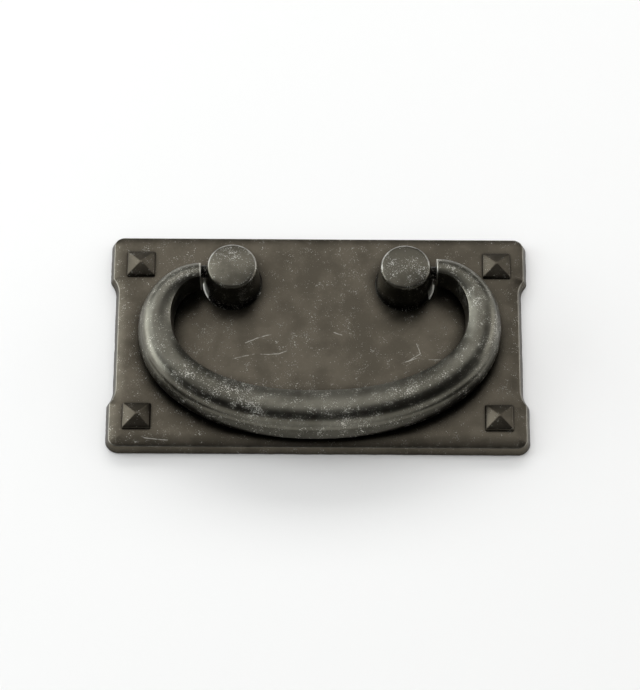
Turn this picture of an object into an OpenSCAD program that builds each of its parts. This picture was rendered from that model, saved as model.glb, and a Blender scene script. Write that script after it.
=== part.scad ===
// Bail pull: a cast backplate with four pyramid studs, two staked posts and a swinging bail.
// It lies on its back. X runs along the plate, +Y to its top edge, +Z out of the drawer front.
// The origin is the middle of the plate's back face. Sizes are millimetres.

/* [Backplate] */
// Width across the ears
plate_w = 102; // [90:1:130]
// Height from bottom edge to top edge
plate_h = 58.9; // [50:0.1:70]
// Thickness from back face to flat face
plate_t = 3; // [2.8:0.1:5]
// Radius of the four outer corners
corner_r = 3.2; // [3:0.1:6]
// Length of each ear along the plate's side
ear_len = 12.1; // [8:0.1:14]
// How far the sides step in between the ears
waist_depth = 1.4; // [0.6:0.1:3]
// Radius of the ear's inner tip
ear_tip_r = 1.6; // [0.8:0.1:2.5]
// Radius of the sweep from the ear into the waist
waist_sweep_r = 5.7; // [3:0.1:9]
// How far the edge wall leans in from foot to arris
wall_draft = 0.85; // [0.3:0.05:1.2]
// Width of the rounded rim between arris and flat face
cushion_w = 2; // [1:0.1:2.2]
// Drop of the rounded rim from flat face to arris
cushion_drop = 0.65; // [0.4:0.05:1.2]

/* [Hollow back] */
// Width of the rim that touches the drawer front
back_rim_w = 4.5; // [4:0.1:8]
// Depth of the hollow behind the plate
hollow_depth = 1.2; // [0.8:0.1:1.6]
// Inner corner radius of the hollow
hollow_r = 3; // [1:0.5:6]
// Diameter of the solid pad behind each post
pad_d = 16; // [14:0.5:20]

/* [Studs] */
// Width of a stud at its foot
stud_w = 7; // [5:0.1:8]
// Distance from the stud's middle to the plate's side edge
stud_inset_x = 7.5; // [7:0.1:12]
// Distance from the stud's middle to the top or bottom edge
stud_inset_y = 8.6; // [7:0.1:12]
// Height of the stud's low wall
stud_wall_h = 0.7; // [0.3:0.1:1.5]
// How far the stud's wall leans in
stud_draft = 0.25; // [0:0.05:0.4]
// Rise of the pyramid above the wall
stud_rise = 1.1; // [0.5:0.1:2.5]
// Width of the small flat on the pyramid's tip
stud_tip_w = 0.5; // [0.3:0.1:1]

/* [Posts] */
// Distance between the two posts
post_spacing = 42; // [34:0.1:48]
// Distance from the plate's top edge to the posts' middle
post_drop = 14; // [12:0.1:16]
// Diameter of the post at the plate
foot_d = 14.5; // [13:0.1:16]
// Size of the small fillet at the foot
foot_fillet = 0.3; // [0.2:0.05:0.5]
// Diameter of the post under its head
head_d = 12.3; // [10.5:0.1:13]
// Height of the tapering neck above the flat face
neck_h = 6.5; // [6.3:0.1:8]
// Height of the straight band at the head's side
head_band_h = 1.7; // [1.6:0.1:2.5]
// Width of the head's bevel
bevel_w = 0.7; // [0.3:0.1:1]
// Height of the head's bevel
bevel_h = 1.1; // [0.5:0.1:2]
// Rise of the head's dome above the bevel
dome_rise = 0.7; // [0.3:0.1:1.5]
// Diameter of the shank that goes through the plate
shank_d = 8; // [7:0.1:9]
// Diameter of the staked collar behind the plate
stake_d = 10; // [9.5:0.1:12]
// Thickness of the staked collar
stake_t = 0.8; // [0.5:0.1:1.2]
// Depth of the collar below the back face
stake_sink = 0.15; // [0.1:0.05:0.4]
// Clearance round the shank and the collar
stake_fit = 0.05; // [0.02:0.01:0.2]

/* [Bail] */
// Greatest width of the bail
bail_w = 87.4; // [80:0.1:92]
// Distance from the bail's own line of ends to its outer edge
bail_reach = 42.3; // [36:0.1:43]
// Distance from the line of ends to the widest place
shoulder_drop = 13.8; // [12:0.1:18]
// Distance from the line of ends to the opening's widest place
inner_drop = 12; // [10:0.1:16]
// Width of the bar at its two ends
bar_end_w = 6.1; // [5.6:0.1:7]
// Width of the bar at the sides
bar_side_w = 8.4; // [7:0.1:10]
// Width of the bar at the grip
bar_grip_w = 11; // [10:0.1:15]
// Height of the drafted flank at the ends
flank_end_h = 6.2; // [5:0.1:7]
// Height of the drafted flank at the sides
flank_side_h = 6.5; // [5:0.1:7.5]
// Height of the drafted flank at the grip
flank_grip_h = 6.8; // [5:0.1:8]
// Lean of the flank at the ends
draft_end = 1.1; // [0.6:0.1:1.5]
// Lean of the flank at the sides
draft_side = 1.6; // [0.6:0.1:2]
// Lean of the outer flank at the grip
draft_grip = 1.7; // [1:0.1:3.2]
// Lean of the inner flank at the grip
inner_draft_grip = 1.3; // [0.6:0.1:2.5]
// Rise of the crowned face at the ends
crown_end = 0.9; // [0.5:0.1:1.5]
// Rise of the crowned face at the sides
crown_side = 1.1; // [0.5:0.1:2]
// Rise of the crowned face at the grip
crown_grip = 1.3; // [0.5:0.1:2.5]
// Size of the small chamfer along the back edges
back_chamfer = 0.4; // [0.2:0.1:0.8]
// Gap between the end faces and the posts' feet
end_gap = 0.3; // [0.3:0.05:1.5]
// Gap between the grip and the plate, as it lies
rest_gap = 0.25; // [0.2:0.05:0.6]
// How far the loose bail rides up from the hinge line
bail_ride = 0.1; // [0:0.1:0.4]
// Turn in degrees by which the loose bail lies out of square
bail_skew = 1.4; // [0:0.1:1.4]

/* [Hinge pins] */
// Height of the hinge line above the flat face
hinge_h = 6.2; // [5.8:0.1:6.3]
// Diameter of the bail's pins
pin_d = 3; // [2.2:0.1:3]
// How far a pin reaches into its post, measured under the head
pin_grip = 3.6; // [2:0.1:3.8]
// Radial running clearance of a pin in its bore
pin_fit = 0.1; // [0.05:0.01:0.1]
// Spare depth of the blind bore past the pin's tip
bore_spare = 0.4; // [0.3:0.1:0.6]

/* [Fixings] */
// Diameter of the tapped hole for the mounting screw
screw_bore_d = 3.4; // [3:0.1:4]
// Depth of the tapped hole from the end of the shank
screw_depth = 6; // [4:0.5:6.5]

/* [Hidden] */

PLATE_COLOR = [0.33, 0.31, 0.27];
CASTING_COLOR = [0.37, 0.36, 0.32];
OVERLAP = 0.2;
SHARP_R = 0.1;
ROUND_FN = 96;
ARC_STEPS = 5;
CUSHION_STEPS = 5;
DOME_STEPS = 6;
CROWN_STEPS = 8;
SHOULDER_STEPS = 16;
BOW_STEPS = 26;
OUTER_POWER = 2 / 2.13;
INNER_POWER = 2 / 2.24;

post_x = post_spacing / 2;
post_y = plate_h / 2 - post_drop;
hinge_z = plate_t + hinge_h;
band_z = plate_t + neck_h;
end_x = post_x + foot_d / 2 + end_gap;
pin_tip_x = post_x + head_d / 2 - pin_grip;
bore_r = pin_d / 2 + pin_fit;
hub_w = (flank_end_h + crown_end) / 2;
rest_tilt = asin((hinge_h - hub_w - rest_gap) / bail_reach);

// Points of an arc about c from angle a to angle b, leaving out the first ones
function arc(c, r, a, b, first) =
    [for (i = [first : ARC_STEPS])
        let (t = a + (b - a) * i / ARC_STEPS)
        c + r * [cos(t), sin(t)]];

function mirror_x(p) = [for (i = [len(p) - 1 : -1 : 0]) [-p[i][0], p[i][1]]];
function mirror_y(p) = [for (i = [len(p) - 1 : -1 : 0]) [p[i][0], -p[i][1]]];
function at_height(p, z) = [for (q = p) [q[0], q[1], z]];
function smooth(t) = t * t * (3 - 2 * t);

// Upper right quarter of the plate's outline, from the waist up to the top edge, moved in by inset
function quarter(inset, round_r) =
    let (
        tip_r = max(ear_tip_r - inset, SHARP_R),
        sweep_r = waist_sweep_r + inset,
        side_x = plate_w / 2 - inset,
        top_y = plate_h / 2 - inset,
        bare = waist_sweep_r + ear_tip_r,
        drop = sqrt(pow(bare, 2) - pow(bare - waist_depth, 2)),
        turn = acos(1 - waist_depth / (tip_r + sweep_r)),
        sweep_c = [side_x - waist_depth + sweep_r, plate_h / 2 - ear_len - drop],
        tip_c = sweep_c + (tip_r + sweep_r) * [-cos(turn), sin(turn)]
    )
    concat(
        arc(sweep_c, sweep_r, 180, 180 - turn, 0),
        arc(tip_c, tip_r, -turn, 0, 1),
        arc([side_x - round_r, top_y - round_r], round_r, 0, 90, 0)
    );

// Whole outline of the plate, anticlockwise
function outline(inset, round_r) =
    let (upper = concat(quarter(inset, round_r), mirror_x(quarter(inset, round_r))))
    concat(upper, mirror_y(upper));

// Ring of the rounded rim, from 0 at the arris to 1 at the flat face
function cushion_ring(t) =
    let (
        r = (pow(cushion_w, 2) + pow(cushion_drop, 2)) / (2 * cushion_drop),
        a = asin(cushion_w / r) * (1 - t)
    )
    plate_ring(wall_draft + cushion_w - r * sin(a), plate_t - r * (1 - cos(a)));

function plate_ring(inset, z) = at_height(outline(inset, max(corner_r - inset, SHARP_R)), z);

// Solid through closed rings of equal length, listed from the bottom up, anticlockwise
module loft(rings) {
    n = len(rings[0]);
    last = len(rings) - 1;
    polyhedron(
        points = [for (ring = rings) each ring],
        faces = concat(
            [[for (i = [0 : n - 1]) i]],
            [for (k = [0 : last - 1], i = [0 : n - 1])
                let (low = k * n, high = low + n, next = (i + 1) % n)
                each [[low + i, high + i, high + next], [low + i, high + next, low + next]]],
            [[for (i = [n - 1 : -1 : 0]) last * n + i]]
        )
    );
}

module plate_body() {
    loft(concat(
        [plate_ring(0, 0)],
        [for (i = [0 : CUSHION_STEPS]) cushion_ring(i / CUSHION_STEPS)]
    ));
}

function square_ring(w, z) = at_height([[1, -1], [1, 1], [-1, 1], [-1, -1]] * w / 2, z);

// Four-sided stud with a low wall and a blunt tip
module stud() {
    wall_top_w = stud_w - 2 * stud_draft;
    translate([plate_w / 2 - stud_inset_x, plate_h / 2 - stud_inset_y, plate_t])
        loft([
            square_ring(stud_w, -OVERLAP),
            square_ring(stud_w, 0),
            square_ring(wall_top_w, stud_wall_h),
            square_ring(stud_tip_w, stud_wall_h + stud_rise)
        ]);
}

module in_four_corners() {
    for (mx = [0, 1], my = [0, 1])
        mirror([mx, 0, 0])
            mirror([0, my, 0])
                children();
}

module at_both_posts() {
    for (side = [-1, 1])
        translate([side * post_x, post_y, 0])
            children();
}

// Shallow hollow behind the plate, with a solid pad left round each post
module hollow_back() {
    difference() {
        translate([0, 0, -OVERLAP])
            linear_extrude(hollow_depth + OVERLAP)
                polygon(outline(back_rim_w, hollow_r));
        at_both_posts()
            translate([0, 0, -2 * OVERLAP])
                cylinder(h = hollow_depth + 3 * OVERLAP, d = pad_d, $fn = ROUND_FN);
    }
}

// Hole for the shank and seat for the staked collar
module stake_seat() {
    translate([0, 0, -OVERLAP])
        cylinder(h = plate_t + 2 * OVERLAP, d = shank_d + 2 * stake_fit, $fn = ROUND_FN);
    translate([0, 0, -OVERLAP])
        cylinder(h = stake_sink + stake_t + OVERLAP, d = stake_d + 2 * stake_fit, $fn = ROUND_FN);
}

module backplate() {
    color(PLATE_COLOR)
        difference() {
            union() {
                plate_body();
                in_four_corners()
                    stud();
            }
            hollow_back();
            at_both_posts()
                stake_seat();
        }
}

// Half section of a post, from the staked collar up to the middle of the domed head
function post_profile() =
    let (
        head_r = head_d / 2,
        dome_edge_r = head_r - bevel_w,
        bevel_z = band_z + head_band_h,
        dome_z = bevel_z + bevel_h,
        dome_r = (pow(dome_edge_r, 2) + pow(dome_rise, 2)) / (2 * dome_rise),
        dome_a = asin(dome_edge_r / dome_r)
    )
    concat(
        [
            [0, stake_sink],
            [stake_d / 2, stake_sink],
            [stake_d / 2, stake_sink + stake_t],
            [shank_d / 2, stake_sink + stake_t],
            [shank_d / 2, plate_t],
            [foot_d / 2, plate_t],
            [foot_d / 2 - foot_fillet, plate_t + foot_fillet],
            [head_r, band_z],
            [head_r, bevel_z],
            [dome_edge_r, dome_z]
        ],
        [for (i = [DOME_STEPS - 1 : -1 : 0])
            let (a = dome_a * i / DOME_STEPS)
            [dome_r * sin(a), dome_z + dome_rise - dome_r * (1 - cos(a))]]
    );

// Blind cross bore for the bail's pin, open to the outer side
module pin_bore() {
    tip_x = pin_tip_x - bore_spare;
    translate([tip_x, post_y, hinge_z])
        rotate([0, 90, 0])
            cylinder(h = post_x + foot_d - tip_x, r = bore_r, $fn = ROUND_FN / 2);
}

module tapped_hole() {
    translate([post_x, post_y, stake_sink - OVERLAP])
        cylinder(h = screw_depth + OVERLAP, d = screw_bore_d, $fn = ROUND_FN / 2);
}

module right_post() {
    color(CASTING_COLOR)
        difference() {
            translate([post_x, post_y, 0])
                rotate_extrude($fn = ROUND_FN)
                    polygon(post_profile());
            pin_bore();
            tapped_hole();
        }
}

module left_post() {
    mirror([1, 0, 0])
        right_post();
}

// Point of a bail outline on its right side. The first stretch turns from the end out to the side,
// and the second sweeps from the side down to the middle of the grip.
function bail_point(k, half_w, top, drop, reach, power) =
    k <= SHOULDER_STEPS
        ? let (a = 90 * k / SHOULDER_STEPS)
            [end_x + (half_w - end_x) * sin(a), -drop + (drop + top) * cos(a)]
        : let (b = 90 * (k - SHOULDER_STEPS) / BOW_STEPS)
            [half_w * pow(cos(b), power), -drop - (reach - drop) * pow(sin(b), power)];

// Value that goes smoothly from the end over the side to the grip
function along(k, at_end, at_side, at_grip) =
    k <= SHOULDER_STEPS
        ? at_end + (at_side - at_end) * smooth(k / SHOULDER_STEPS)
        : at_side + (at_grip - at_side) * smooth((k - SHOULDER_STEPS) / BOW_STEPS);

// Cross section of the bar at step k: flat back, chamfers, drafted flanks and crowned face
function bar_section(k) =
    let (
        outer = bail_point(k, bail_w / 2, bar_end_w / 2, shoulder_drop, bail_reach, OUTER_POWER),
        inner = bail_point(k, bail_w / 2 - bar_side_w, -bar_end_w / 2, inner_drop,
            bail_reach - bar_grip_w, INNER_POWER),
        w = norm(inner - outer),
        in_dir = (inner - outer) / w,
        h = along(k, flank_end_h, flank_side_h, flank_grip_h),
        lean = along(k, draft_end, draft_side, draft_grip),
        inner_lean = along(k, draft_end, draft_side, inner_draft_grip),
        crown = along(k, crown_end, crown_side, crown_grip),
        face_w = w - lean - inner_lean,
        profile = concat(
            [[back_chamfer, 0], [0, back_chamfer]],
            [for (i = [0 : CROWN_STEPS])
                let (t = i / CROWN_STEPS)
                [lean + face_w * t, h + 4 * crown * t * (1 - t)]],
            [[w, back_chamfer], [w - back_chamfer, 0]]
        )
    )
    [for (q = profile) [outer[0] + in_dir[0] * q[0], outer[1] + in_dir[1] * q[0], q[1] - hub_w]];

function mirror_section(ring) = [for (p = ring) [-p[0], p[1], p[2]]];

// The swept bar in its own frame: line of ends along X, back face down
module bar() {
    last = SHOULDER_STEPS + BOW_STEPS;
    loft(concat(
        [for (k = [0 : last]) bar_section(k)],
        [for (k = [last - 1 : -1 : 0]) mirror_section(bar_section(k))]
    ));
}

module pin() {
    translate([pin_tip_x, 0, 0])
        rotate([0, 90, 0])
            cylinder(h = end_x + OVERLAP - pin_tip_x, d = pin_d, $fn = ROUND_FN / 2);
}

module bail() {
    color(CASTING_COLOR)
        translate([0, post_y, hinge_z]) {
            rotate([rest_tilt, 0, 0])
                translate([0, bail_ride, 0])
                    rotate([0, 0, bail_skew])
                        bar();
            pin();
            mirror([1, 0, 0])
                pin();
        }
}

backplate();
left_post();
right_post();
bail();
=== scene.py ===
"""Dresses the bail pull: finer castings, an aged bronze finish, a pale table and soft studio light."""

import math

import bmesh
import bpy
from mathutils import Matrix, Vector, noise

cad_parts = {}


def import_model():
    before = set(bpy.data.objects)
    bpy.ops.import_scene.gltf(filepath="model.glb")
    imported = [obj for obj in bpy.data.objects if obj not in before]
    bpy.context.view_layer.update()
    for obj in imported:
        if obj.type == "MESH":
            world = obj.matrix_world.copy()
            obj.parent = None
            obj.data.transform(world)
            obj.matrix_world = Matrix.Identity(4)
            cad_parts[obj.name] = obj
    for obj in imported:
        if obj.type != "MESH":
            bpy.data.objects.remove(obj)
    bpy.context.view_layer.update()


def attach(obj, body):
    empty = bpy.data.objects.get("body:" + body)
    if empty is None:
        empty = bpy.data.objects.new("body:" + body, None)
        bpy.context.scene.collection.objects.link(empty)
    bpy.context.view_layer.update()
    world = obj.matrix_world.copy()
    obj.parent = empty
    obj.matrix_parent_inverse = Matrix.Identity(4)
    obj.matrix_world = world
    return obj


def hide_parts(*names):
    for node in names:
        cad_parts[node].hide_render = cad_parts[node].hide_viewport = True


# Lengths are in millimetres and angles in degrees unless noted, and the meshes are in metres
MM = 0.001
CUT_SPARE = 1

# Backplate
PLATE_W = 102.0
PLATE_H = 58.9
PLATE_T = 3.0
CORNER_R = 3.2
EAR_LEN = 12.1
WAIST_DEPTH = 1.4
EAR_TIP_R = 1.6
WAIST_SWEEP_R = 5.7
WALL_DRAFT = 0.85
CUSHION_W = 2.0
CUSHION_DROP = 0.65
BACK_RIM_W = 4.5
HOLLOW_DEPTH = 1.2
HOLLOW_R = 3.0
PAD_D = 16.0
RIM_REACH = 3.6
FOOT_EASE = (0.18, 0.2)
EDGE_WOBBLE = 0.09
EDGE_WAVES = ((1, 0.35, 3.1), (0.6, 1.3, 7.7))
EDGE_SHRINK = 0.8
WOBBLE_TOP = 2.2
SEAT_PLAY = 0.05
PLATE_CREASE = 32

# Studs
STUD_W = 7.0
STUD_INSET_X = 7.5
STUD_INSET_Y = 8.6
STUD_WALL_H = 0.7
STUD_DRAFT = 0.25
STUD_RISE = 1.1
STUD_TIP_W = 0.5
STUD_EDGE_R = 0.16
STUD_SINK = 0.3

# Posts
POST_SPACING = 42.0
POST_DROP = 14.0
FOOT_D = 14.5
HEAD_D = 12.3
NECK_H = 6.5
HEAD_BAND_H = 1.7
BEVEL_H = 1.1
DOME_RISE = 0.7
FACE_RISE = 0.62
FACE_R = 5.5
EDGE_DROP = 1.35
FOOT_FLARE = 0.35
FLARE_H = 0.6
POST_CREASE = 40
SHANK_D = 8.0
STAKE_D = 10.0
STAKE_T = 0.8
STAKE_SINK = 0.15
SCREW_BORE_D = 3.4
SCREW_DEPTH = 6.0
HEAD_TOP_Z = PLATE_T + NECK_H + HEAD_BAND_H + BEVEL_H + DOME_RISE

# Bail, where sets of three are for its ends, sides and grip
BAIL_W = 87.4
BAIL_REACH = 42.3
SHOULDER_DROP = 13.8
INNER_DROP = 12.0
BAR_END_W = 6.1
BAR_SIDE_W = 8.4
BAR_GRIP_W = 11.0
FLANK_H = (6.2, 6.5, 6.8)
OUTER_LEAN = (0.9, 1.0, 0.9)
INNER_LEAN = (0.8, 0.6, 1.3)
CROWN = (0.9, 1.1, 1.3)
TOP_AT = (0.66, 0.50, 0.375)
ROUND_FROM = (0.60, 0.58, 0.58)
INNER_FALL = (0.3, 1.3, 1.75)
ARRIS_EASE = 0.3
BACK_CHAMFER = 0.4
UNDERCUT = (0.2, 0.35, 0.8)
BULGE = (0.0, 0.2, 0.9)
BULGE_Z = 1.6
END_GAP = 0.3
REST_GAP = 0.25
BAIL_RIDE = 0.1
BAIL_SKEW = 1.4
BAIL_WAVES = ((0.055, 0.11, 1.7), (0.02, 0.45, 9.2))
WOBBLE_FROM = 1.0
BAIL_CREASE = 38
OUTER_POWER = 2 / 2.13
INNER_POWER = 2 / 2.24
SHOULDER_STEPS = 34
BOW_STEPS = 70
STEPS = SHOULDER_STEPS + BOW_STEPS
END_RINGS = ((0.22, 0.0), (0.06, 0.06), (0.0, 0.22))

# Hinge pins
HINGE_H = 6.2
PIN_D = 3.0
PIN_GRIP = 3.6
PIN_FIT = 0.1
BORE_SPARE = 0.4
PIN_LAP = 0.6

# Places that follow from the lengths above
POST_X = POST_SPACING / 2
POST_Y = PLATE_H / 2 - POST_DROP
HINGE_Z = PLATE_T + HINGE_H
PIN_AXIS = (0, POST_Y, HINGE_Z)
END_X = POST_X + FOOT_D / 2 + END_GAP
PIN_TIP_X = POST_X + HEAD_D / 2 - PIN_GRIP
HUB_W = (FLANK_H[0] + CROWN[0]) / 2
REST_TILT = math.asin((HINGE_H - HUB_W - REST_GAP) / BAIL_REACH)

# Wear and painted light, from -1 where dark wax or painted shade is left to 1 where the patina is rubbed
# off or a highlight is painted as bare metal
ARRIS_RUB_H = 0.16
STUD_WAX = 0.5
STUD_RUB_FROM = 0.8
STUD_RUB_H = 0.3
RIM_RUB = 0.68
RIM_RUB_H = 0.24
RIM_RUB_LOW = 0.35
RIM_RUB_FROM = 3.5
RIM_RUB_REACH = 5.0
# Painted shade on the post's foot flare, in the dark wax colour
FOOT_PAINTED_SHADE = 0.8
# Arc on the foot's outer side where a highlight is painted as bare metal
FOOT_PAINTED_HIGHLIGHT = (-34, 2)
END_RUB_DROP = 4.2
END_RUB_LOW = 0.4
# Painted shade on the bar's lower flanks, in the dark wax colour
FLANK_PAINTED_SHADE = 0.6
FLANK_SHADE_DROP = 3.8
# Reach of the painted shade on the pins
PIN_SHADE_W = 0.5
PIN_SHADE_H = 0.1

# Marks on the plate's face: broken scratches, and spots where specks gather
SCRATCHES = (
    ((-20.2, -4.7), (-15.0, -3.5), (-9.3, -3.4), (-6.5, -2.3)),
    ((-17.4, -0.3), (-11.0, 2.1)),
    ((4.1, 2.6), (6.0, 2.0)),
    ((20.3, -6.0), (22.3, -5.1), (24.7, -4.2), (25.9, -4.7), (31.2, -4.6)),
    ((24.3, -0.3), (25.1, -3.1), (22.4, -5.0)),
    ((-44.0, -24.5), (-41.0, -26.2), (-35.5, -26.8)),
)
SCRATCH_W = 0.17
SCRATCH_CORE = 0.02
SCRATCH_WARP = 0.8
SCRATCH_RUB = 0.55
RUB_SPOTS = (
    (6.9, 21.5, 5.0), (6.9, 19.0, 4.0), (-27.0, 2.0, 6.0), (-30.0, -2.5, 5.0),
    (-5.0, -1.0, 6.0), (47.0, 14.0, 4.0), (46.0, -12.0, 4.0), (-49.0, 5.0, 4.0),
)

# Finishes, with the colours of the patina, of its darker clouds and of the metal under it
PLATE_FINISH = dict(
    base=(0.127, 0.111, 0.085), dark=(0.086, 0.075, 0.057), bare=(0.74, 0.72, 0.64),
    rub=0.22, speckle=0.60, seed=1, uneven=0.55, marks=True,
)
POST_FINISH = dict(
    base=(0.168, 0.156, 0.124), dark=(0.110, 0.102, 0.081), bare=(0.82, 0.81, 0.75),
    rub=0.85, speckle=0.72, seed=5, uneven=0.55, marks=False,
)
BAIL_FINISH = dict(
    base=(0.178, 0.170, 0.139), dark=(0.112, 0.106, 0.085), bare=(0.80, 0.78, 0.70),
    rub=0.75, speckle=0.76, seed=9, uneven=0.8, marks=False,
)
# Dark wax colour, also used for painted shade on the feet, the lower flanks and the pins
WAX_AND_PAINTED_SHADE = (0.012, 0.011, 0.009, 1)
# Painted shade colour, laid by ambient occlusion in the plate's recesses, in front of the bail and round
# the posts
PAINTED_SHADE = (0.010, 0.009, 0.007, 1)
PAINTED_SHADE_REACH = 4.5
BUMP_H = 0.06
GRAIN_H, FINE_H, CLOUD_H, PIT_H = 0.25, 0.6, 3.2, -0.4
ROUGH_BASE = 0.20
ROUGH_SHARES = (0.18, 0.10, 0.18)

# Textures, as scale, detail and roughness, and the values between which a mask goes from 0 to 1
CLOUD = (55, 3, 0.55)
FINE = (420, 4, 0.6)
GRAIN = (1500, 3, 0.6)
PATCH = (95, 3, 0.65)
SPECK = (3100, 2, 0.75)
BLOTCH = (210, 4, 0.65)
BEND_SCALE = 260
PATCH_EDGE = (0.44, 0.66)
PATCH_SHARE = 0.042
PLATE_FEWER = 0.022
SPECK_EDGE = (0.604, 0.624)
MOTTLE_EDGE = (0.40, 0.60)
WAX_AND_SHADE_EDGE = (-0.9, -0.3)
RUB_EDGE = (0.62, 0.95)
SCRATCH_BREAK = (0.40, 0.56)
SHADE_FADE_EDGE = (0.52, 0.96)

# Table and lights. Each panel has its angle from overhead to the rear, its turn to the right, its
# distance in metres, its angular width and height, its strength and its colour
TABLE_HALF = 1500
TABLE_TONES = ((0.80, 0.80, 0.795, 1), (0.84, 0.838, 0.832, 1))
TABLE_ROUGH = 0.75
TABLE_SHEEN = 0.2
WHITE = (1, 1, 1)
PANELS = (
    ("rear_panel", 36, -20, 2.0, (72, 32), 1.06, WHITE),
    ("low_rear_panel", 63, -18, 2.0, (50, 18), 0.36, WHITE),
    ("overhead_panel", 10, -40, 2.0, (50, 24), 0.56, WHITE),
    ("front_panel", -18, 10, 1.0, (46, 24), 0.06, WHITE),
    ("left_panel", 74, -80, 1.0, (46, 32), 3.6, (0.94, 0.98, 1.0)),
    ("left_high_panel", 48, -58, 1.0, (26, 24), 1.7, (0.90, 0.96, 1.0)),
    ("right_high_panel", 50, 52, 1.0, (28, 24), 0.8, WHITE),
    ("right_panel", 74, 75, 1.0, (34, 26), 2.2, WHITE),
)
MATT_PANEL = ("rear_fill", 65, 0, 6.0, (80, 16), 6.4, WHITE)

# World, as colour and strength, and the rise over which the backdrop gives way to the ceiling
ROOM = ((1.0, 0.995, 0.98, 1), 0.39)
BACKDROP = ((0.8, 0.8, 0.8, 1), 0.97)
CEILING = ((0.9, 0.95, 1.0, 1), 0.02)
BACKDROP_TOP = (0.10, 0.16)

# Camera, matched to the photograph, in pixels, metres and radians
IMAGE_W, IMAGE_H = 640, 690
SENSOR_W = 36.0
CAM_ELEVATION = math.radians(62.0)
CAM_DISTANCE = 0.860
PIXELS_PER_MM = 4.114
CAM_ROLL = 0.006
CENTRE_PX = (318.3, 346.3)


# Small geometry helpers

def arc(c, r, a, b, steps, first=0):
    """Points of an arc about c, angles in degrees."""
    out = []
    for i in range(first, steps + 1):
        t = math.radians(a + (b - a) * i / steps)
        out.append((c[0] + r * math.cos(t), c[1] + r * math.sin(t)))
    return out


def between(p, q, steps):
    """Points strictly between p and q."""
    return [tuple(p[j] + (q[j] - p[j]) * i / steps for j in range(2)) for i in range(1, steps)]


def rounded(points, radii, steps=4):
    """Open polyline with each corner eased over the given length; a radius of 0 keeps it sharp."""
    out = [points[0]]
    for i in range(1, len(points) - 1):
        p, q, r = Vector(points[i - 1]), Vector(points[i]), Vector(points[i + 1])
        t = radii[i]
        if t <= 0:
            out.append(tuple(q))
            continue
        a = q + (p - q).normalized() * min(t, (p - q).length * 0.45)
        b = q + (r - q).normalized() * min(t, (r - q).length * 0.45)
        for k in range(steps + 1):
            s = k / steps
            v = a * (1 - s) ** 2 + q * 2 * s * (1 - s) + b * s * s
            out.append(tuple(v))
    out.append(points[-1])
    return out


def conic(p, corner, q, weight, steps):
    """Points of a smooth curve from p to q that turns at the corner; more weight makes it fuller."""
    out = []
    for i in range(steps + 1):
        t = i / steps
        a, b, c = (1 - t) ** 2, 2 * t * (1 - t) * weight, t * t
        total = a + b + c
        out.append(tuple((a * p[j] + b * corner[j] + c * q[j]) / total for j in range(2)))
    return out


def smooth(t):
    """Eases a value from 0 to 1 at both ends."""
    return t * t * (3 - 2 * t)


def wobble(p, scale, seed):
    """Slow unevenness of a hand-finished casting, from -1 to 1."""
    return noise.noise(Vector((p[0] * scale + seed, p[1] * scale - seed, p[2] * scale)))


def unevenness(p, waves):
    """Sum of slow waves at a place, each with its size, its scale and a seed."""
    return sum(size * wobble(p, scale, seed) for size, scale, seed in waves)


def add_object(name, data):
    """New object in the scene's collection."""
    ob = bpy.data.objects.new(name, data)
    bpy.context.scene.collection.objects.link(ob)
    return ob


def mesh_object(name, points, faces):
    """Object from points in millimetres."""
    mesh = bpy.data.meshes.new(name)
    mesh.from_pydata([Vector(p) * MM for p in points], [], faces)
    mesh.validate()
    return add_object(name, mesh)


def loft_mesh(name, rings):
    """Closed solid through rings listed from the bottom up, anticlockwise."""
    n = len(rings[0])
    points = [p for ring in rings for p in ring]
    faces = [tuple(range(n - 1, -1, -1))]
    for k in range(len(rings) - 1):
        for i in range(n):
            j = (i + 1) % n
            faces.append((k * n + i, k * n + j, (k + 1) * n + j, (k + 1) * n + i))
    faces.append(tuple((len(rings) - 1) * n + i for i in range(n)))
    return mesh_object(name, points, faces)


def cylinder_mesh(name, radius, low, high, centre, axis="Z", segments=96):
    """Closed cylinder from low to high along an axis through centre."""
    rings = []
    for h in (low, high):
        ring = []
        for i in range(segments):
            a = 2 * math.pi * i / segments
            u, v = radius * math.cos(a), radius * math.sin(a)
            if axis == "Z":
                ring.append((centre[0] + u, centre[1] + v, h))
            else:
                ring.append((h, centre[1] + u, centre[2] + v))
        rings.append(ring)
    return loft_mesh(name, rings)


def combine(ob, other, operation):
    """Adds, cuts or keeps the overlap of a helper mesh, then removes the helper."""
    mod = ob.modifiers.new("combine", "BOOLEAN")
    mod.operation = operation
    mod.solver = "EXACT"
    mod.object = other
    bake(ob)
    bpy.data.objects.remove(other)


def bake(ob):
    """Applies the modifiers of an object to its mesh."""
    deps = bpy.context.evaluated_depsgraph_get()
    mesh = bpy.data.meshes.new_from_object(ob.evaluated_get(deps))
    ob.modifiers.clear()
    ob.data = mesh


def smooth_shade(ob, angle):
    """Smooth faces, with edges sharper than the angle kept crisp."""
    bm = bmesh.new()
    bm.from_mesh(ob.data)
    for f in bm.faces:
        f.smooth = True
    for e in bm.edges:
        e.smooth = len(e.link_faces) == 2 and e.calc_face_angle(0) < math.radians(angle)
    bm.to_mesh(ob.data)
    bm.free()


def store_wear_and_painted_light(ob, values):
    """Stores how rubbed or waxed each point is, with painted highlight and painted shade among it."""
    layer = ob.data.attributes.new("wear_and_painted_light", "FLOAT", "POINT")
    layer.data.foreach_set("value", values)


def set_wear_and_painted_light(ob, rule):
    """Stores the wear and painted light by a rule on each point's place in millimetres."""
    store_wear_and_painted_light(ob, [rule(v.co / MM) for v in ob.data.vertices])


# Backplate mesh

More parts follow.
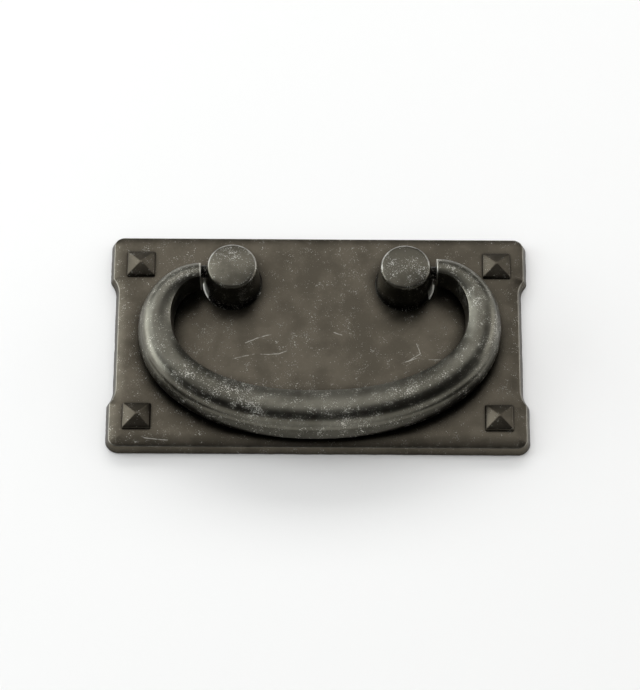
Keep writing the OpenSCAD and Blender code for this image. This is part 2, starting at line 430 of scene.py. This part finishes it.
def plate_quarter(inset, round_r):
    """Upper right quarter of the outline, from the middle of the waist to the middle of the top edge."""
    tip_r = max(EAR_TIP_R - inset, 0.1)
    sweep_r = WAIST_SWEEP_R + inset
    side_x = PLATE_W / 2 - inset
    top_y = PLATE_H / 2 - inset
    bare = WAIST_SWEEP_R + EAR_TIP_R
    drop = math.sqrt(bare ** 2 - (bare - WAIST_DEPTH) ** 2)
    turn = math.degrees(math.acos(1 - WAIST_DEPTH / (tip_r + sweep_r)))
    sweep_c = (side_x - WAIST_DEPTH + sweep_r, PLATE_H / 2 - EAR_LEN - drop)
    reach = tip_r + sweep_r
    bend = math.radians(turn)
    tip_c = (sweep_c[0] - reach * math.cos(bend), sweep_c[1] + reach * math.sin(bend))
    sweep = arc(sweep_c, sweep_r, 180, 180 - turn, 10)
    tip = arc(tip_c, tip_r, -turn, 0, 8, 1)
    corner = arc((side_x - round_r, top_y - round_r), round_r, 0, 90, 12)
    start = (side_x - WAIST_DEPTH, 0.0)
    return (
        [start] + between(start, sweep[0], 22) + sweep + tip
        + between(tip[-1], corner[0], 12) + corner + between(corner[-1], (0.0, top_y), 90) + [(0.0, top_y)]
    )


def plate_outline(inset, round_r):
    """Whole outline of the plate, drawn in by the inset, anticlockwise."""
    q = plate_quarter(inset, round_r)
    upper = q[:-1] + [(-x, y) for x, y in reversed(q)]
    lower = [(x, -y) for x, y in reversed(upper[1:-1])]
    return upper + lower


def plate_ring(inset, z, rough=0.0):
    """Ring of the plate's edge, with a little unevenness at the as-cast foot."""
    ring = []
    for x, y in plate_outline(inset, max(CORNER_R - inset, 0.1)):
        d = rough * (unevenness((x, y, 0), EDGE_WAVES) - EDGE_SHRINK)
        length = math.hypot(x, y)
        ring.append((x + d * x / length, y + d * y / length, z))
    return ring


def plate_edge_profile():
    """Edge of the plate as inset and height, from the back face to the flat face."""
    arris_z = PLATE_T - CUSHION_DROP
    corner = (WALL_DRAFT + CUSHION_W * 0.75, PLATE_T)
    slope = conic((WALL_DRAFT, arris_z), corner, (WALL_DRAFT + RIM_REACH, PLATE_T), 0.9, 10)
    line = [(FOOT_EASE[0], 0.0), (0.0, FOOT_EASE[1]), (WALL_DRAFT * 0.5, arris_z * 0.52)] + slope
    return rounded(line, [0, 0.12, 0, 0.22] + [0] * 10)


def plate_shell():
    """Solid plate with its cushioned rim, before the studs, hollow and holes."""
    rings = []
    for inset, z in plate_edge_profile():
        rough = EDGE_WOBBLE * max(0.0, 1 - z / WOBBLE_TOP)
        rings.append(plate_ring(inset, z, rough))
    return loft_mesh("backplate_casting", rings)


def stud_mesh(mx, my):
    """Pyramid stud with softened edges, sunk a little into the plate."""
    shoulder_w = STUD_W - 2 * STUD_DRAFT
    levels = [(STUD_W, -STUD_SINK), (shoulder_w, STUD_WALL_H), (STUD_TIP_W, STUD_WALL_H + STUD_RISE)]
    rings = []
    for w, z in levels:
        h = w / 2
        rings.append([(h, -h, z), (h, h, z), (-h, h, z), (-h, -h, z)])
    ob = loft_mesh("stud", rings)
    bm = bmesh.new()
    bm.from_mesh(ob.data)
    eased = [e for e in bm.edges if max(v.co.z for v in e.verts) > 0.1 * MM]
    bmesh.ops.bevel(bm, geom=eased, offset=STUD_EDGE_R * MM, segments=3, profile=0.5, affect="EDGES")
    bm.to_mesh(ob.data)
    bm.free()
    x = mx * (PLATE_W / 2 - STUD_INSET_X) * MM
    y = my * (PLATE_H / 2 - STUD_INSET_Y) * MM
    ob.data.transform(Matrix.Translation((x, y, PLATE_T * MM)))
    return ob


def hollow_mesh():
    """Body of the hollow behind the plate, less the pads round the posts."""
    outline = plate_outline(BACK_RIM_W, HOLLOW_R)
    low = [(x, y, -CUT_SPARE / 2) for x, y in outline]
    high = [(x, y, HOLLOW_DEPTH) for x, y in outline]
    ob = loft_mesh("hollow", [low, high])
    for side in (-1, 1):
        centre = (side * POST_X, POST_Y)
        pad = cylinder_mesh("pad", PAD_D / 2, -CUT_SPARE, HOLLOW_DEPTH + CUT_SPARE, centre)
        combine(ob, pad, "DIFFERENCE")
    return ob


def plate_wear(p):
    """Rubbed at the arris and on the studs' tips, with wax left on the studs' faces."""
    arris = max(0.0, 1 - abs(p.z - (PLATE_T - CUSHION_DROP)) / ARRIS_RUB_H)
    tip = max(0.0, (p.z - PLATE_T - STUD_WALL_H - STUD_RISE * STUD_RUB_FROM) / STUD_RUB_H)
    waxed = STUD_WAX if p.z > PLATE_T + 0.05 else 0.0
    return min(1.0, arris + tip - waxed)


def make_plate(material):
    """Backplate casting with its studs, hollow back and seats for the posts."""
    ob = plate_shell()
    for mx in (-1, 1):
        for my in (-1, 1):
            combine(ob, stud_mesh(mx, my), "UNION")
    combine(ob, hollow_mesh(), "DIFFERENCE")
    for side in (-1, 1):
        centre = (side * POST_X, POST_Y)
        hole_r, seat_r = SHANK_D / 2 + SEAT_PLAY, STAKE_D / 2 + SEAT_PLAY
        hole = cylinder_mesh("hole", hole_r, -CUT_SPARE, PLATE_T + CUT_SPARE, centre)
        combine(ob, hole, "DIFFERENCE")
        seat = cylinder_mesh("seat", seat_r, -CUT_SPARE, STAKE_SINK + STAKE_T, centre)
        combine(ob, seat, "DIFFERENCE")
    smooth_shade(ob, PLATE_CREASE)
    set_wear_and_painted_light(ob, plate_wear)
    finish_piece(ob, "mounting", material, "backplate")


# Post meshes

def head_profile():
    """Half section of the head's rounded edge and domed face, from the side to the middle."""
    head_r = HEAD_D / 2
    face_curve = (FACE_R ** 2 + FACE_RISE ** 2) / (2 * FACE_RISE)
    face_a = math.asin(FACE_R / face_curve)
    face = []
    for i in range(12, -1, -1):
        a = face_a * i / 12
        face.append((face_curve * math.sin(a), HEAD_TOP_Z - face_curve * (1 - math.cos(a))))
    corner = (head_r, face[0][1] - (head_r - FACE_R) * math.tan(face_a))
    edge = conic((head_r, face[0][1] - EDGE_DROP), corner, face[0], 1.0, 8)
    return edge + face[1:]


def post_profile():
    """Half section of a post from its staked end to the middle of its head, as radius and height."""
    foot = [
        (0.0, STAKE_SINK), (STAKE_D / 2, STAKE_SINK), (STAKE_D / 2, STAKE_SINK + STAKE_T),
        (SHANK_D / 2, STAKE_SINK + STAKE_T), (SHANK_D / 2, PLATE_T), (FOOT_D / 2, PLATE_T),
    ]
    flare_r = FOOT_D / 2 - FOOT_FLARE
    flare_end = (flare_r, PLATE_T + FLARE_H)
    flare = conic((FOOT_D / 2, PLATE_T + 0.06), (flare_r + 0.08, PLATE_T + 0.1), flare_end, 1.0, 8)
    band = [(HEAD_D / 2, PLATE_T + NECK_H)]
    return rounded(foot, [0, 0.15, 0, 0, 0, 0]) + flare + band + head_profile()


def lathe_mesh(name, profile, centre, segments=144):
    """Closed solid of revolution about a vertical axis; the profile starts and ends on the axis."""
    body = [p for p in profile if p[0] > 1e-6]
    points = [(centre[0], centre[1], profile[0][1]), (centre[0], centre[1], profile[-1][1])]
    for r, z in body:
        for i in range(segments):
            a = 2 * math.pi * i / segments
            points.append((centre[0] + r * math.cos(a), centre[1] + r * math.sin(a), z))
    faces = []
    last = 2 + (len(body) - 1) * segments
    for i in range(segments):
        j = (i + 1) % segments
        faces.append((0, 2 + j, 2 + i))
        faces.append((1, last + i, last + j))
        for k in range(len(body) - 1):
            a, b = 2 + k * segments, 2 + (k + 1) * segments
            faces.append((a + i, a + j, b + j, b + i))
    return mesh_object(name, points, faces)


def post_wear_and_painted_light(p):
    """Rubbed round the rim of the head, most at its upper side; on the foot flare, a highlight painted as
    bare metal under the pin and painted shade round the rest.
    """
    # The foot flare gets a painted highlight under the pin and painted shade elsewhere
    if p.z < PLATE_T + FLARE_H + 0.05:
        lean = math.degrees(math.atan2(p.y - POST_Y, abs(p.x) - POST_X))
        return 1.0 if FOOT_PAINTED_HIGHLIGHT[0] < lean < FOOT_PAINTED_HIGHLIGHT[1] else -FOOT_PAINTED_SHADE
    rim = max(0.0, 1 - abs(p.z - (HEAD_TOP_Z - FACE_RISE) + 0.1) / RIM_RUB_H)
    rise = min(1.0, max(0.0, (p.y - POST_Y + RIM_RUB_FROM) / RIM_RUB_REACH))
    return rim * (RIM_RUB_LOW + (1 - RIM_RUB_LOW) * smooth(rise)) * RIM_RUB


def make_post(side, material):
    """Turned post, -1 for the left and 1 for the right, with its cross bore and its tapped hole."""
    name = "left_post" if side < 0 else "right_post"
    centre = (side * POST_X, POST_Y)
    ob = lathe_mesh(name + "_turned", post_profile(), centre)
    low, high = sorted((side * (PIN_TIP_X - BORE_SPARE), side * (POST_X + FOOT_D)))
    bore = cylinder_mesh("bore", PIN_D / 2 + PIN_FIT, low, high, PIN_AXIS, "X", 64)
    combine(ob, bore, "DIFFERENCE")
    top = STAKE_SINK + SCREW_DEPTH
    screw = cylinder_mesh("screw", SCREW_BORE_D / 2, -CUT_SPARE, top, centre, "Z", 64)
    combine(ob, screw, "DIFFERENCE")
    smooth_shade(ob, POST_CREASE)
    set_wear_and_painted_light(ob, post_wear_and_painted_light)
    finish_piece(ob, "mounting", material, name)


# Bail mesh

def bail_point(k, half_w, top, drop, reach, power):
    """Point of the bail's outer or inner curve: a quarter ellipse, then a fuller bow to the grip."""
    if k <= SHOULDER_STEPS:
        a = math.radians(90 * k / SHOULDER_STEPS)
        return Vector((END_X + (half_w - END_X) * math.sin(a), -drop + (drop + top) * math.cos(a)))
    b = math.radians(90 * (k - SHOULDER_STEPS) / BOW_STEPS)
    return Vector((half_w * max(math.cos(b), 0.0) ** power, -drop - (reach - drop) * math.sin(b) ** power))


def along(k, values):
    """Value that goes smoothly from the end over the side to the grip."""
    if k <= SHOULDER_STEPS:
        return values[0] + (values[1] - values[0]) * smooth(k / SHOULDER_STEPS)
    return values[1] + (values[2] - values[1]) * smooth((k - SHOULDER_STEPS) / BOW_STEPS)


def bar_profile(w, k):
    """Section of the bar as distance across and height over its back, outer side first."""
    c = BACK_CHAMFER
    h, lean, inner_lean = along(k, FLANK_H), along(k, OUTER_LEAN), along(k, INNER_LEAN)
    top = (w * along(k, TOP_AT), h + along(k, CROWN))
    turn_z = top[1] * along(k, ROUND_FROM)
    slope = lean / (h - c)
    start = (slope * (turn_z - c), turn_z)
    corner = (slope * (top[1] - c), top[1])
    arris = (w - inner_lean, top[1] - along(k, INNER_FALL))
    outer = conic(start, corner, top, 0.82, 14)
    inner = conic(top, (top[0] + (arris[0] - top[0]) * 0.5, top[1]), arris, 1.0, 12)[1:]
    out = -along(k, BULGE)
    under = conic((c + along(k, UNDERCUT), 0.0), (out, 0.3), (out, BULGE_Z), 0.8, 6)
    flank = conic((out, BULGE_Z), (out * 0.8, (BULGE_Z + turn_z) / 2), start, 0.8, 4)[1:-1]
    line = (
        [(w * 0.5, 0.0)] + under + flank + outer + inner
        + [(w - inner_lean * 0.5, c + (arris[1] - c) * 0.5), (w, c), (w - c, 0.0), (w * 0.5, 0.0)]
    )
    curved = len(under) + len(flank) + len(outer) + len(inner)
    radii = [0] * curved + [ARRIS_EASE, 0, 0.1, 0.12, 0]
    return rounded(line, radii)[:-1]


def bar_ring(k, side, shrink=0.0, shift=0.0):
    """One section of the bar in the bail's own frame, with the casting's slow unevenness."""
    outer = bail_point(k, BAIL_W / 2, BAR_END_W / 2, SHOULDER_DROP, BAIL_REACH, OUTER_POWER)
    inner_w, inner_reach = BAIL_W / 2 - BAR_SIDE_W, BAIL_REACH - BAR_GRIP_W
    inner = bail_point(k, inner_w, -BAR_END_W / 2, INNER_DROP, inner_reach, INNER_POWER)
    w = (inner - outer).length
    direction = (inner - outer) / w
    ring = []
    for q, z in bar_profile(w, k):
        if shrink:
            q = w / 2 + (q - w / 2) * (1 - 2 * shrink / w)
            z = HUB_W + (z - HUB_W) * (1 - shrink / HUB_W)
        p = outer + direction * q
        x, y, h = side * (p.x + shift), p.y, z - HUB_W
        bump = unevenness((x, y, h), BAIL_WAVES)
        ring.append((x, y, h + bump * min(1.0, max(0.0, (z - WOBBLE_FROM) / 2))))
    return ring


def bar_mesh():
    """Swept bar from the right end round to the left end, with eased end faces."""
    rings = [bar_ring(0, 1, shrink, shift) for shrink, shift in END_RINGS]
    rings += [bar_ring(k, 1) for k in range(1, STEPS + 1)]
    rings += [bar_ring(k, -1) for k in range(STEPS - 1, 0, -1)]
    rings += [bar_ring(0, -1, shrink, shift) for shrink, shift in reversed(END_RINGS)]
    return loft_mesh("bail_casting", rings)


def wear_and_shade_on_bar(ob):
    """Stores the rub on the end faces and painted shade on the lower flanks, by ring and height in the
    section.
    """
    n = len(bar_profile(8.0, 0))
    values = []
    count = len(ob.data.vertices) // n
    for r in range(count):
        at_end = min(r, count - 1 - r) < len(END_RINGS)
        heights = [(ob.data.vertices[r * n + i].co / MM).z for i in range(n)]
        top = max(heights)
        for z in heights:
            if at_end:
                values.append(1.0 if z > top - END_RUB_DROP else END_RUB_LOW)
            else:
                # Painted shade on the lower flanks
                values.append(0.0 if z > top - FLANK_SHADE_DROP else -FLANK_PAINTED_SHADE)
    store_wear_and_painted_light(ob, values)


def place_bar(ob):
    """Turns the bar as the loose bail lies, then tips it until the grip rests."""
    turn = Matrix.Rotation(math.radians(BAIL_SKEW), 4, "Z")
    ride = Matrix.Translation((0, BAIL_RIDE * MM, 0))
    tilt = Matrix.Rotation(REST_TILT, 4, "X")
    place = Matrix.Translation((0, POST_Y * MM, HINGE_Z * MM))
    ob.data.transform(place @ tilt @ ride @ turn)


def paint_shade_on_pins(ob):
    """Paints shade on the pins and where they meet the bar's ends, in the dark wax colour."""
    layer = ob.data.attributes["wear_and_painted_light"]
    reach = PIN_D / 2 + PIN_SHADE_H
    for v in ob.data.vertices:
        p = v.co / MM
        if abs(p.x) < END_X + PIN_SHADE_W and math.hypot(p.y - POST_Y, p.z - HINGE_Z) < reach:
            layer.data[v.index].value = -1.0


def make_bail(material):
    """Bail casting as it lies at rest, with its two pins."""
    ob = bar_mesh()
    wear_and_shade_on_bar(ob)
    place_bar(ob)
    for side in (-1, 1):
        low, high = sorted((side * PIN_TIP_X, side * (END_X + PIN_LAP)))
        pin = cylinder_mesh("pin", PIN_D / 2, low, high, PIN_AXIS, "X", 48)
        combine(ob, pin, "UNION")
    # The pins in the gaps get painted shade
    paint_shade_on_pins(ob)
    smooth_shade(ob, BAIL_CREASE)
    finish_piece(ob, "swinging_bail", material, "bail")


def finish_piece(ob, body, material, node):
    """Gives a piece its material and body, in place of a node of the frame."""
    ob.data.materials.clear()
    ob.data.materials.append(material)
    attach(ob, body)
    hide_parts(node)


# Materials

class Nodes:
    """Shorthand for building a shader tree."""

    def __init__(self, tree):
        self.tree = tree

    def add(self, kind, **settings):
        """New node of a kind."""
        n = self.tree.nodes.new(kind)
        for key, value in settings.items():
            setattr(n, key, value)
        return n

    def link(self, a, b):
        """Joins an output to an input."""
        self.tree.links.new(a, b)

    def fill(self, socket, value):
        """Links a socket, or sets a plain value."""
        if isinstance(value, bpy.types.NodeSocket):
            self.link(value, socket)
        else:
            socket.default_value = value

    def math(self, op, a, b=0.0, c=0.0, clamp=False):
        """Result of an operation on numbers or sockets."""
        n = self.add("ShaderNodeMath", operation=op, use_clamp=clamp)
        for socket, value in zip(n.inputs, (a, b, c)):
            self.fill(socket, value)
        return n.outputs[0]

    def vector(self, op, a, b):
        """Node for an operation on two vectors."""
        n = self.add("ShaderNodeVectorMath", operation=op)
        self.fill(n.inputs[0], a)
        self.fill(n.inputs[1], b)
        return n

    def mix(self, factor, a, b):
        """Colour that goes from a to b."""
        n = self.add("ShaderNodeMix", data_type="RGBA")
        self.fill(n.inputs["Factor"], factor)
        self.fill(n.inputs["A"], a)
        self.fill(n.inputs["B"], b)
        return n.outputs["Result"]

    def noise(self, where, scale, detail, rough):
        """Cloudy value, mostly about 0.5."""
        n = self.add("ShaderNodeTexNoise")
        self.link(where, n.inputs["Vector"])
        n.inputs["Scale"].default_value = scale
        n.inputs["Detail"].default_value = detail
        n.inputs["Roughness"].default_value = rough
        return n.outputs["Fac"]

    def step(self, value, low, high):
        """0 below low, 1 above high and smooth between."""
        n = self.add("ShaderNodeMapRange", interpolation_type="SMOOTHSTEP")
        self.fill(n.inputs["Value"], value)
        n.inputs["From Min"].default_value = low
        n.inputs["From Max"].default_value = high
        return n.outputs["Result"]


def from_line(n, flat, p, q):
    """Distance in metres from the line between two points of the plate, given in millimetres."""
    p = Vector((p[0], p[1], 0)) * MM
    way = Vector((q[0], q[1], 0)) * MM - p
    offset = n.vector("SUBTRACT", flat, p).outputs[0]
    part = n.vector("DOT_PRODUCT", offset, way / way.length_squared)
    held = n.math("MINIMUM", n.math("MAXIMUM", part.outputs["Value"], 0.0), 1.0)
    foot = n.add("ShaderNodeVectorMath", operation="SCALE")
    foot.inputs[0].default_value = way
    n.link(held, foot.inputs["Scale"])
    return n.vector("DISTANCE", offset, foot.outputs[0]).outputs["Value"]


def scratch_mask(n, where):
    """Fine broken scratches on the plate's face, 1 on a scratch."""
    bend = n.add("ShaderNodeTexNoise")
    n.link(where, bend.inputs["Vector"])
    bend.inputs["Scale"].default_value = BEND_SCALE
    warp = n.vector("MULTIPLY_ADD", bend.outputs["Color"], (SCRATCH_WARP * MM, SCRATCH_WARP * MM, 0))
    n.link(where, warp.inputs[2])
    flat = n.vector("MULTIPLY", warp.outputs[0], (1, 1, 0)).outputs[0]
    nearest = 1.0
    for line in SCRATCHES:
        for p, q in zip(line, line[1:]):
            nearest = n.math("MINIMUM", from_line(n, flat, p, q), nearest)
    return n.math("SUBTRACT", 1.0, n.step(nearest, SCRATCH_CORE * MM, SCRATCH_W * MM))


def rub_spots(n, where):
    """Places on the plate where specks gather, 1 in the middle of a spot."""
    total = 0.0
    for x, y, radius in RUB_SPOTS:
        away = n.vector("DISTANCE", where, (x * MM, y * MM, PLATE_T * MM)).outputs["Value"]
        near = n.math("SUBTRACT", 1.0, n.step(away, 0.0, radius * MM))
        total = n.math("MAXIMUM", near, total)
    return total


def speck_mask(n, where, coord, fine, marks):
    """Specks where the patina is rubbed through, small, ragged and gathered in patches."""
    patch = n.step(n.noise(where, *PATCH), *PATCH_EDGE)
    if marks:
        patch = n.math("MAXIMUM", n.math("MULTIPLY", patch, 0.5), rub_spots(n, coord))
    ragged = n.math("MULTIPLY_ADD", n.noise(where, *SPECK), 0.65, n.math("MULTIPLY", fine, 0.35))
    ragged = n.math("MULTIPLY_ADD", patch, PATCH_SHARE, ragged)
    if marks:
        ragged = n.math("SUBTRACT", ragged, PLATE_FEWER)
    return n.step(ragged, *SPECK_EDGE)


def rubbed_and_highlight_mask(n, coord, fine, wear_and_painted_light, rub, specks, marks):
    """Where bare metal shows, at the specks, along the worn edges, in the scratches and at painted
    highlights.
    """
    broken = n.step(n.math("ADD", wear_and_painted_light, n.math("MULTIPLY", fine, 0.55)), *RUB_EDGE)
    rubbed_and_highlit = n.math("MAXIMUM", n.math("MULTIPLY", broken, rub), specks, clamp=True)
    if marks:
        scored = n.math("MULTIPLY", scratch_mask(n, coord), n.step(fine, *SCRATCH_BREAK))
        rubbed_and_highlit = n.math("MAXIMUM", rubbed_and_highlit, n.math("MULTIPLY", scored, SCRATCH_RUB))
    return rubbed_and_highlit


def patina_and_shade_tone(n, where, cloud, wear_and_painted_light, base, dark):
    """Mottled patina, with dark wax and painted shade where the wear is below zero."""
    blotch = n.noise(where, *BLOTCH)
    mottle = n.math("MULTIPLY_ADD", cloud, 0.5, n.math("MULTIPLY", blotch, 0.5))
    tone = n.mix(n.step(mottle, *MOTTLE_EDGE), (*dark, 1), (*base, 1))
    return n.mix(n.step(wear_and_painted_light, *WAX_AND_SHADE_EDGE), WAX_AND_PAINTED_SHADE, tone)


def with_painted_shade(n, colour):
    """Colour with painted shade darkening the plate's recesses, found by ambient occlusion."""
    recess = n.add("ShaderNodeAmbientOcclusion", samples=6)
    recess.inputs["Distance"].default_value = PAINTED_SHADE_REACH * MM
    return n.mix(n.step(recess.outputs["AO"], *SHADE_FADE_EDGE), PAINTED_SHADE, colour)


def relief(n, where, cloud, fine, dots, uneven):
    """Normal of the slightly uneven casting, with its grain and with pits at the specks."""
    grain = n.noise(where, *GRAIN)
    height = n.math("MULTIPLY_ADD", grain, GRAIN_H, n.math("MULTIPLY", fine, FINE_H))
    height = n.math("MULTIPLY_ADD", cloud, CLOUD_H, height)
    height = n.math("MULTIPLY_ADD", dots, PIT_H, height)
    bump = n.add("ShaderNodeBump")
    bump.inputs["Strength"].default_value = uneven
    bump.inputs["Distance"].default_value = BUMP_H * MM
    n.link(height, bump.inputs["Height"])
    return bump.outputs["Normal"]


def bronze(name, base, dark, bare, rub, speckle, seed, uneven, marks):
    """Aged bronze: mottled patina, rub-through specks, pits, scratches and worn arrises, with painted
    shade and painted highlights from the wear attribute and, on the plate, painted shade in the recesses.
    """
    mat = bpy.data.materials.new(name)
    mat.use_nodes = True
    mat.node_tree.nodes.clear()
    n = Nodes(mat.node_tree)
    out = n.add("ShaderNodeOutputMaterial")
    bsdf = n.add("ShaderNodeBsdfPrincipled")
    n.link(bsdf.outputs[0], out.inputs[0])
    bsdf.inputs["Metallic"].default_value = 1.0

    coord = n.add("ShaderNodeTexCoord").outputs["Object"]
    shift = n.add("ShaderNodeMapping")
    n.link(coord, shift.inputs["Vector"])
    shift.inputs["Location"].default_value = (seed * 0.013, seed * 0.021, 0)
    where = shift.outputs["Vector"]
    wear_and_painted_light = n.add("ShaderNodeAttribute", attribute_name="wear_and_painted_light").outputs["Fac"]
    cloud = n.noise(where, *CLOUD)
    fine = n.noise(where, *FINE)

    dots = speck_mask(n, where, coord, fine, marks)
    specks = n.math("MULTIPLY", dots, speckle, clamp=True)
    rubbed_and_highlit = rubbed_and_highlight_mask(n, coord, fine, wear_and_painted_light, rub, specks, marks)
    colour = n.mix(rubbed_and_highlit, patina_and_shade_tone(n, where, cloud, wear_and_painted_light, base, dark), (*bare, 1))
    if marks:
        # The plate gets painted shade in its recesses
        colour = with_painted_shade(n, colour)
    n.link(colour, bsdf.inputs["Base Color"])

    rough = ROUGH_BASE
    for value, share in zip((fine, cloud, rubbed_and_highlit), ROUGH_SHARES):
        rough = n.math("MULTIPLY_ADD", value, share, rough)
    n.link(rough, bsdf.inputs["Roughness"])
    n.link(relief(n, where, cloud, fine, dots, uneven), bsdf.inputs["Normal"])
    return mat


def table_material():
    """Pale matt table top, with faint clouds."""
    mat = bpy.data.materials.new("pale_table")
    mat.use_nodes = True
    n = Nodes(mat.node_tree)
    bsdf = mat.node_tree.nodes["Principled BSDF"]
    coord = n.add("ShaderNodeTexCoord").outputs["Object"]
    tone = n.noise(coord, 3.0, 2, 0.5)
    n.link(n.mix(tone, *TABLE_TONES), bsdf.inputs["Base Color"])
    bsdf.inputs["Roughness"].default_value = TABLE_ROUGH
    bsdf.inputs["Specular IOR Level"].default_value = TABLE_SHEEN
    return mat


# Set, light and camera

def make_table():
    """Wide table top under the part."""
    h = TABLE_HALF
    ob = mesh_object("table", [(-h, -h, 0), (h, -h, 0), (h, h, 0), (-h, h, 0)], [(0, 1, 2, 3)])
    ob.data.materials.append(table_material())


def panel(name, angle, turn, distance, spread, radiance, colour):
    """Soft light that faces the part from its place in the table of panels."""
    data = bpy.data.lights.new(name, "AREA")
    data.shape = "RECTANGLE"
    data.size = 2 * distance * math.tan(math.radians(spread[0] / 2))
    data.size_y = 2 * distance * math.tan(math.radians(spread[1] / 2))
    data.energy = radiance * math.pi * data.size * data.size_y
    data.color = colour
    ob = add_object(name, data)
    tip, swing = math.radians(angle), math.radians(turn)
    way = Vector((math.sin(tip) * math.sin(swing), math.sin(tip) * math.cos(swing), math.cos(tip)))
    ob.location = way * distance
    ob.rotation_euler = way.to_track_quat("Z", "Y").to_euler()
    ob.visible_camera = False
    return ob


def make_lights():
    """All panels, of which the last lights matt surfaces only."""
    for values in PANELS:
        panel(*values)
    panel(*MATT_PANEL).visible_glossy = False


def background(n, colour, strength):
    """Even light of one colour."""
    node = n.add("ShaderNodeBackground")
    node.inputs["Color"].default_value = colour
    node.inputs["Strength"].default_value = strength
    return node.outputs[0]


def blend(n, factor, a, b):
    """Light that goes from a to b."""
    node = n.add("ShaderNodeMixShader")
    for socket, value in zip(node.inputs, (factor, a, b)):
        n.link(value, socket)
    return node.outputs[0]


def make_world():
    """Pale background near the horizon, a dark ceiling over it, and even light on matt surfaces."""
    world = bpy.data.worlds.new("studio")
    bpy.context.scene.world = world
    world.use_nodes = True
    world.node_tree.nodes.clear()
    n = Nodes(world.node_tree)
    out = n.add("ShaderNodeOutputWorld")
    way = n.add("ShaderNodeSeparateXYZ")
    n.link(n.add("ShaderNodeTexCoord").outputs["Generated"], way.inputs[0])
    overhead = n.step(way.outputs["Z"], *BACKDROP_TOP)
    surroundings = blend(n, overhead, background(n, *BACKDROP), background(n, *CEILING))
    path = n.add("ShaderNodeLightPath")
    seen = n.math("MAXIMUM", path.outputs["Is Camera Ray"], path.outputs["Is Glossy Ray"])
    seen = n.math("MAXIMUM", path.outputs["Is Transmission Ray"], seen)
    n.link(blend(n, seen, background(n, *ROOM), surroundings), out.inputs[0])


def make_camera():
    """Camera in the photograph's place."""
    data = bpy.data.cameras.new("camera")
    data.sensor_fit = "HORIZONTAL"
    data.sensor_width = SENSOR_W
    data.lens = PIXELS_PER_MM * CAM_DISTANCE * 1000 * SENSOR_W / IMAGE_W
    data.shift_x = (IMAGE_W / 2 - CENTRE_PX[0]) / IMAGE_W
    data.shift_y = (CENTRE_PX[1] - IMAGE_H / 2) / IMAGE_W
    data.clip_start = 0.01
    ob = add_object("camera", data)
    ob.location = (0, -CAM_DISTANCE * math.cos(CAM_ELEVATION), CAM_DISTANCE * math.sin(CAM_ELEVATION))
    look = Matrix.Rotation(math.pi / 2 - CAM_ELEVATION, 4, "X") @ Matrix.Rotation(CAM_ROLL, 4, "Z")
    ob.rotation_euler = look.to_euler()
    bpy.context.scene.camera = ob


def main():
    """Loads the frame, sets the scene and dresses the part."""
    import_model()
    make_camera()
    make_world()
    make_lights()
    make_table()
    plate = bronze("plate_patina", **PLATE_FINISH)
    post = bronze("post_patina", **POST_FINISH)
    bail = bronze("bail_patina", **BAIL_FINISH)
    make_plate(plate)
    for side in (-1, 1):
        make_post(side, post)
    make_bail(bail)
    bpy.context.scene.view_settings.view_transform = "Standard"


main()
